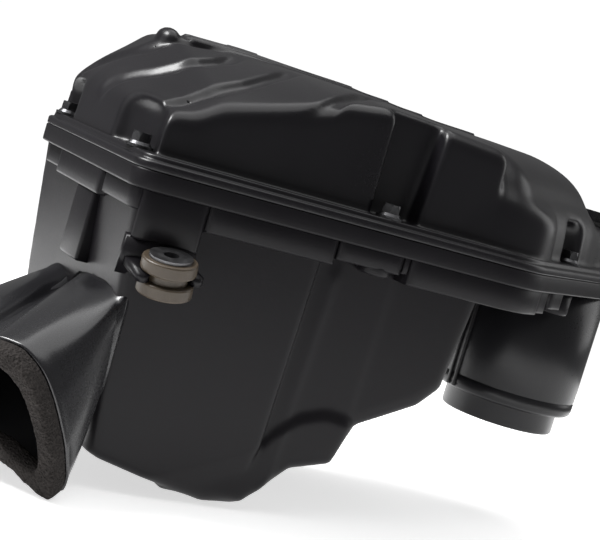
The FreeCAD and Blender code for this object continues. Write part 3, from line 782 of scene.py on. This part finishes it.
def edge_strip(start, stop, depth, face, bottom, top=STRIP_TOP):
    """A bar hung under the flange along part of the outline: its section is a rectangle with
    rounded lower edges, from the face inset to the depth, set at every 1.5 mm of the outline and
    drawn in a little at both ends. The outline is gone round twice, so a bar may start before
    its first point."""
    length = np.linspace(start, stop, max(8, int((stop - start) / 1.5)))
    around = np.concatenate([SEAM_STEPS - SEAM_STEPS[-1], SEAM_STEPS[1:]])
    twice = np.r_[0:len(SEAM), 0:len(SEAM), 0]
    plan = np.column_stack([np.interp(length, around, SEAM[twice, i]) for i in (0, 1)])
    normal = np.column_stack([np.interp(length, around, SEAM_NORMALS[twice, i]) for i in (0, 1)])
    section = [(depth, bottom), (face + 1.6, bottom), (face + 0.5, bottom + 0.35), (face, bottom + 1.3),
               (face, top - 0.9), (face + 0.4, top), (depth, top)]
    end = np.array([0.8, 0.25, 0.0])
    drawn_in = np.concatenate([end, np.zeros(max(0, len(length) - 2 * len(end))), end[::-1]])
    rings = []
    for inset, z in section:
        moved = plan - normal * np.maximum(inset, face + drawn_in)[:, None]
        rings.append(np.column_stack([moved, np.full(len(plan), z)]))
    return loft(np.stack(rings, 1), flip=True)


def build_case_rails():
    """The rails under the flange, in runs of their own depth along the front, the diagonal and
    the left edge, and the deeper web beside the front mount."""
    strips = [edge_strip(FRONT + 37.5, FRONT + 104.0, 9.5, 1.5, -20.8),
              edge_strip(FRONT + 105.2, FRONT + 140.0, 12.5, 1.5, -17.9),
              edge_strip(FRONT + 141.2, FRONT + 144.5, 12.5, 2.6, -17.0),
              edge_strip(FRONT + 145.0, DIAGONAL + 9.0, 15.0, 1.5, -21.5),
              edge_strip(DIAGONAL + 10.2, DIAGONAL + 26.0, 15.0, 3.4, -21.0),
              edge_strip(DIAGONAL + 27.0, DIAGONAL + 46.0, 15.0, 2.2, -18.0),
              edge_strip(LEFT - 152.0, LEFT - 121.0, 12.0, 4.2, -19.0),
              edge_strip(LEFT - 120.0, LEFT - 51.0, 12.0, 0.9, -20.6),
              edge_strip(LEFT - 50.0, FRONT + 3.5, 11.5, 2.0, -18.6),
              edge_strip(FRONT + 3.0, FRONT + 37.0, 10.0, 1.6, -31.0, -8.6)]
    piece("case_rails", join_parts(strips), "case", black_plastic)


def build_case_bosses():
    """A round boss with a softened foot under each screw that stands clear of the left wall, and
    the upright rib on that wall."""
    rib_corners = [(2.4, 58.0), (12.0, 58.0), (12.0, 85.0), (2.4, 85.0)]
    rib_fillet = 1.6
    rib_loop, rib_normals = rounded_loop(rib_corners, (rib_fillet,) * 4, 5)
    boss = [(0.01, -21.0), (6.6, -21.0), (7.6, -20.6), (8.0, -19.6), (8.0, STRIP_TOP), (0.01, STRIP_TOP)]
    parts = [slab(rib_loop, rib_normals, -54.0, -20.0, rib_fillet)]
    parts += [lathe(boss, screw, 40) for screw in BOSSED_SCREWS]
    piece("case_bosses", join_parts(parts), "case", black_plastic)


FORK_RADIUS, FORK_HALF, FORK_THICK = 9.6, 15.5, 3.8


def ear_plate(facing):
    """Fork plate of a rubber mount, a bar bent round the groove and open away from the case."""
    turn = np.linspace(math.pi, 0, 25)
    inner = np.column_stack([FORK_RADIUS * np.cos(turn), FORK_RADIUS * np.sin(turn)])
    tip = [(FORK_RADIUS, -4.5), (11.0, -6.0), (13.5, -6.0), (FORK_HALF, -4.0)]
    other_tip = [(-x, y) for x, y in tip[::-1]]
    ring = np.array(other_tip + inner.tolist() + tip + [(FORK_HALF, 19.5), (-FORK_HALF, 19.5)])
    ring = ring * facing
    return loft([np.column_stack([ring, np.full(len(ring), z)]) for z in (-FORK_THICK / 2, FORK_THICK / 2)])


def build_case_ears():
    """The fork plates of both mounts, leaning with the bolts, each on a block that reaches from
    the wall to just past the fork's root."""
    parts = []
    for centre, facing, wall in ((MOUNT_CENTRE, 1.0, 8.0), (REAR_MOUNT, -1.0, 153.2)):
        points, faces = ear_plate(facing)
        parts.append((leaned(points, centre), faces))
        back, front_edge = wall + 1.5 * facing, centre[1] + 15.1 * facing
        side = np.array([(back, centre[2] + 12.5), (front_edge, centre[2] + 11.0),
                         (front_edge, centre[2] + 2.0), (back, centre[2] - 6.0)])
        rings = [np.column_stack([np.full(4, centre[0] + a), side]) for a in (-17.0, 17.0)]
        parts.append(loft(rings, flip=facing < 0))
    piece("case_ears", join_parts(parts), "case", black_plastic)


# ======================================================================== duct, foam, outlet
# the mouth's outline in its own plane: across to the right, up
MOUTH_SHAPE = [(-2, 26.5), (6, 31.0), (14, 31.8), (22, 30.6), (31, 23.6), (37, 13.5), (41, 3),
               (44.3, -8), (45.6, -17), (46, -25), (43, -31.5), (33, -28.5), (20, -22.5), (0, -21),
               (-20, -21), (-36, -18), (-44, -8), (-45.5, 6), (-42, 19), (-32, 28), (-18, 31.5), (-9, 30)]
MOUTH_NORMAL = np.array([-0.70, -0.60, -0.38])
MOUTH_POINT = np.array([-30.0, 10.0, -115.0])
MOUTH_SHIFT = -8.0
DUCT_WALL = 2.4
FOAM_CENTRE = np.array([5.0, 5.0])                 # in the mouth's plane
FOAM_WIDTH = np.array([0.225, 0.315])              # share of the way to the centre, across and up
FOAM_HALF, FOAM_MIDDLE = 5.4, 5.6                  # half its thickness, and its middle's place on the mouth
SQUARENESS = 0.45                                  # of the foam's section: 1 is an ellipse, 0 a rectangle


def closed_curve(corners, per_span=6):
    """A closed curve through the corners, each span a cubic whose slope at a corner is half the
    step from the corner before to the corner after."""
    p = np.asarray(corners, float)
    before, after, second = np.roll(p, 1, 0), np.roll(p, -1, 0), np.roll(p, -2, 0)
    t = np.arange(per_span)[:, None, None] / per_span
    curve = 0.5 * (2 * p + (after - before) * t + (2 * before - 5 * p + 4 * after - second) * t ** 2
                   + (3 * p - before - 3 * after + second) * t ** 3)
    return curve.transpose(1, 0, 2).reshape(-1, p.shape[1])


def mouth_ring(shape, forward):
    """A loop of the mouth's plane, (across, up) pairs, in housing coordinates, moved forward out
    of the mouth. Up is the upright direction's part in the plane, across is square to it."""
    normal = MOUTH_NORMAL / np.linalg.norm(MOUTH_NORMAL)
    up = np.array([0.0, 0.0, 1.0]) - normal * normal[2]
    up = up / np.linalg.norm(up)
    across = np.cross(up, normal)
    return MOUTH_POINT + across * MOUTH_SHIFT + normal * forward + shape[:, :1] * across + shape[:, 1:] * up


def build_duct():
    """Trumpet between the outline at the case and the mouth's: the ring at share s is root plus
    (mouth - root) times s, swollen by a sine of s and by a collar at each end; the inner face is
    the same rings drawn towards their centres by the wall."""
    mouth, root = closed_curve(MOUTH_SHAPE), closed_curve(ROOT_SHAPE)
    last = mouth_ring(mouth, 0.3)
    first = np.column_stack([np.full(len(root), ROOT_X), root])
    share = np.concatenate([np.linspace(0, 0.94, 22), [0.965, 0.985, 1.0]])
    rings = first + (last - first) * share[:, None, None]
    centres = rings.mean(1, keepdims=True)
    waist = 1 + 0.03 * np.sin(share * math.pi)
    rings = centres + (rings - centres) * waist[:, None, None]
    collars = 1 + 0.012 * smooth_step(share, 0.9, 0.97) + 0.022 * (1 - smooth_step(share, 0.10, 0.125))
    rings = centres + (rings - centres) * collars[:, None, None]
    outwards = rings - centres
    inner = rings - outwards / np.linalg.norm(outwards, axis=2, keepdims=True) * DUCT_WALL
    points, faces = ring_shell(np.concatenate([rings, inner[::-1]]), flip=True)
    made = piece("duct_trumpet", (points, faces), "case", duct_plastic, ["inlet_duct"])
    # the inner faces take the paler material: painted light inside the duct
    made.data.materials.append(duct_inside_painted_light)
    inside = np.arange(len(faces)) >= len(faces) // 2
    made.data.polygons.foreach_set("material_index", inside.astype(np.int32))


def build_mouth_foam():
    """Foam ring on the mouth: its section at angle t is a rounded rectangle, cosine and sine of t
    raised to a power below one, and a sum of three sine waves makes its face ragged."""
    wide = closed_curve(MOUTH_SHAPE, 16)
    place = np.arange(len(wide)) / len(wide) * 2 * math.pi
    rings = []
    for angle in np.linspace(0, 2 * math.pi, 28, endpoint=False):
        cosine, sine = np.cos(angle), np.sin(angle)
        across_share = 0.5 - 0.5 * np.sign(cosine) * abs(cosine) ** SQUARENESS
        forward = FOAM_MIDDLE + FOAM_HALF * np.sign(sine) * abs(sine) ** SQUARENESS
        ragged = 0.35 * np.sin(place * 31 + angle * 3) + 0.25 * np.sin(place * 73 - angle * 5)
        ragged = ragged + 0.2 * np.sin(place * 127)
        thin = 1 - across_share * FOAM_WIDTH
        shape = FOAM_CENTRE + (wide - FOAM_CENTRE) * thin * (1.008 + 0.006 * ragged[:, None])
        rings.append(mouth_ring(shape, forward + 0.5 * ragged[:, None]))
    ring = piece("mouth_foam", ring_shell(rings, flip=True), "case", foam, ["inlet_foam_seal"])


def build_outlet():
    """Turned neck: the profile of (radius, height) pairs carried round the upright axis, with a
    band near its lower end and a narrower nozzle, and two upright ribs on its left side."""
    profile = [(OUTLET_RADIUS, -1.0), (OUTLET_RADIUS, -71.0), (39.6, -71.5), (39.6, -72.2),
               (OUTLET_RADIUS, -72.7), (OUTLET_RADIUS, -76.5), (39.4, -78.6), (37.8, -80.0),
               (33.4, -80.6), (32.5, -81.5), (32.5, -91.3), (31.9, -92.3), (30.0, -92.5),
               (29.5, -92.0), (29.5, -77.8), (37.4, -77.2), (37.4, -1.0)]
    parts = [lathe(profile[::-1], OUTLET, 128, hollow=True)]
    rib = ((-0.9, 2.6), (0.9, 2.6), (0.9, -2.0), (-0.9, -2.0))
    for degrees in (184.0, 191.0):
        angle = math.radians(degrees)
        out = np.array([math.cos(angle), math.sin(angle)])
        side = np.array([-out[1], out[0]])
        middle = np.array(OUTLET) + out * 38.6
        loop, normals = rounded_loop([middle + side * a + out * b for a, b in rib], (0.4,) * 4, 4)
        parts.append(slab(loop, normals, -79.0, STRIP_TOP, 0.35))
    piece("outlet_pipe", join_parts(parts), "case", neck_plastic, ["outlet_neck"])


build_cover_dome()
build_cover_flange()
build_case_tub()
build_case_flange()
build_case_rails()
build_case_bosses()
build_case_ears()
build_duct()
build_mouth_foam()
build_outlet()

# ---- the CAD nodes that stay as they are and get a finish ----
FINISHES = {"outlet_seal": black_rubber, "thread_inserts": brass, "front_grommet": brown_rubber,
            "front_sleeve": sleeve_steel, "rear_grommet": brown_rubber, "rear_sleeve": sleeve_steel,
            "filter_gasket": seal_rubber, "filter_media": paper, "filter_beads": glue,
            "sensor_grommet": black_rubber, "air_temperature_sensor": neck_plastic}
for number in range(1, 8):
    FINISHES["cover_screw_%d" % number] = zinc
    FINISHES["screw_washer_%d" % number] = zinc
for node_name, material in FINISHES.items():
    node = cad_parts[node_name]
    node.data.materials.clear()
    node.data.materials.append(material)


# ======================================================================== camera, light, floor
# in metres, in the row's frame
CAMERA_PLACE, CAMERA_LENS = (-0.2648, -0.6399, 0.0845), 96.0
CAMERA_RIGHT = Vector((0.86533, -0.41038, 0.28775))
CAMERA_UP = Vector((-0.21662, 0.21149, 0.95307))
CAMERA_AHEAD = Vector((0.45197, 0.88706, -0.09411))
ROOM_LIGHT, BACKDROP_LIGHT = 0.16, 1.05
FLOOR_MIDDLE, FLOOR_HALF, FLOOR_GLOW = (0.13, 0.08), 0.6, 0.64
# name, place, the point it faces, width and height, watts
SOFTBOXES = [("top", (0.1, 0.2, 1.6), (0.12, 0.08, 0.0), (2.0, 2.0), 22),
             ("left", (-1.4, 0.3, 0.55), (0.0, 0.05, -0.05), (1.3, 1.0), 2.4),
             ("key", (-0.75, 0.35, 0.95), (0.1, 0.05, 0.0), (0.5, 0.5), 24),
             ("right", (1.3, 0.1, 0.5), (0.25, 0.05, 0.0), (0.6, 0.9), 2.5)]


def build_camera():
    """A long lens in front of the housing and to its left, a little above its seam."""
    camera = bpy.data.objects.new("camera", bpy.data.cameras.new("camera"))
    bpy.context.scene.collection.objects.link(camera)
    camera.data.lens = CAMERA_LENS
    camera.data.sensor_width = 36.0
    camera.data.clip_end = 20.0
    turn = Matrix((CAMERA_RIGHT, CAMERA_UP, -CAMERA_AHEAD)).transposed().to_4x4()
    camera.matrix_world = Matrix.Translation(CAMERA_PLACE) @ turn
    bpy.context.scene.camera = camera


def build_world():
    """A white backdrop for the camera, and a dimmer white room that lights the object."""
    world = bpy.data.worlds.new("studio")
    bpy.context.scene.world = world
    world.use_nodes = True
    tree = world.node_tree
    room, backdrop = tree.nodes["Background"], tree.nodes.new("ShaderNodeBackground")
    for background, power in ((room, ROOM_LIGHT), (backdrop, BACKDROP_LIGHT)):
        background.inputs["Color"].default_value = (1.0, 1.0, 1.0, 1)
        background.inputs["Strength"].default_value = power
    seen, choice = tree.nodes.new("ShaderNodeLightPath"), tree.nodes.new("ShaderNodeMixShader")
    tree.links.new(seen.outputs["Is Camera Ray"], choice.inputs[0])
    tree.links.new(room.outputs[0], choice.inputs[1])
    tree.links.new(backdrop.outputs[0], choice.inputs[2])
    tree.links.new(choice.outputs[0], tree.nodes["World Output"].inputs[0])
    bpy.context.scene.view_settings.view_transform = "Standard"


def build_floor():
    """A pale, faintly glowing square just under the object."""
    floor_mesh = bpy.data.meshes.new("floor")
    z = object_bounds()[0].z - 0.0005
    x, y = FLOOR_MIDDLE
    corners = [(x + a * FLOOR_HALF, y + b * FLOOR_HALF, z) for a, b in ((-1, -1), (1, -1), (1, 1), (-1, 1))]
    floor_mesh.from_pydata(corners, [], [(0, 1, 2, 3)])
    floor = bpy.data.objects.new("floor", floor_mesh)
    bpy.context.scene.collection.objects.link(floor)
    pale = Shader("pale_floor", Roughness=0.9, Emission_Strength=FLOOR_GLOW)
    cloud = pale.noise(2.0)
    pale.feed("Base Color", pale.mix(cloud, (0.90, 0.90, 0.90, 1), (0.92, 0.92, 0.92, 1)))
    pale.feed("Emission Color", pale.mix(cloud, (0.98, 0.98, 0.98, 1), (1.0, 1.0, 1.0, 1)))
    floor_mesh.materials.append(pale.material)


def softbox(name, place, target, size, power):
    """A rectangular lamp that faces the target."""
    light = bpy.data.lights.new(name, "AREA")
    light.shape = "RECTANGLE"
    light.size, light.size_y = size
    light.energy = power
    lamp = bpy.data.objects.new(name, light)
    bpy.context.scene.collection.objects.link(lamp)
    lamp.location = place
    lamp.rotation_mode = "QUATERNION"
    lamp.rotation_quaternion = (Vector(target) - Vector(place)).to_track_quat("-Z", "Y")


build_camera()
build_world()
build_floor()
for box in SOFTBOXES:
    softbox(*box)
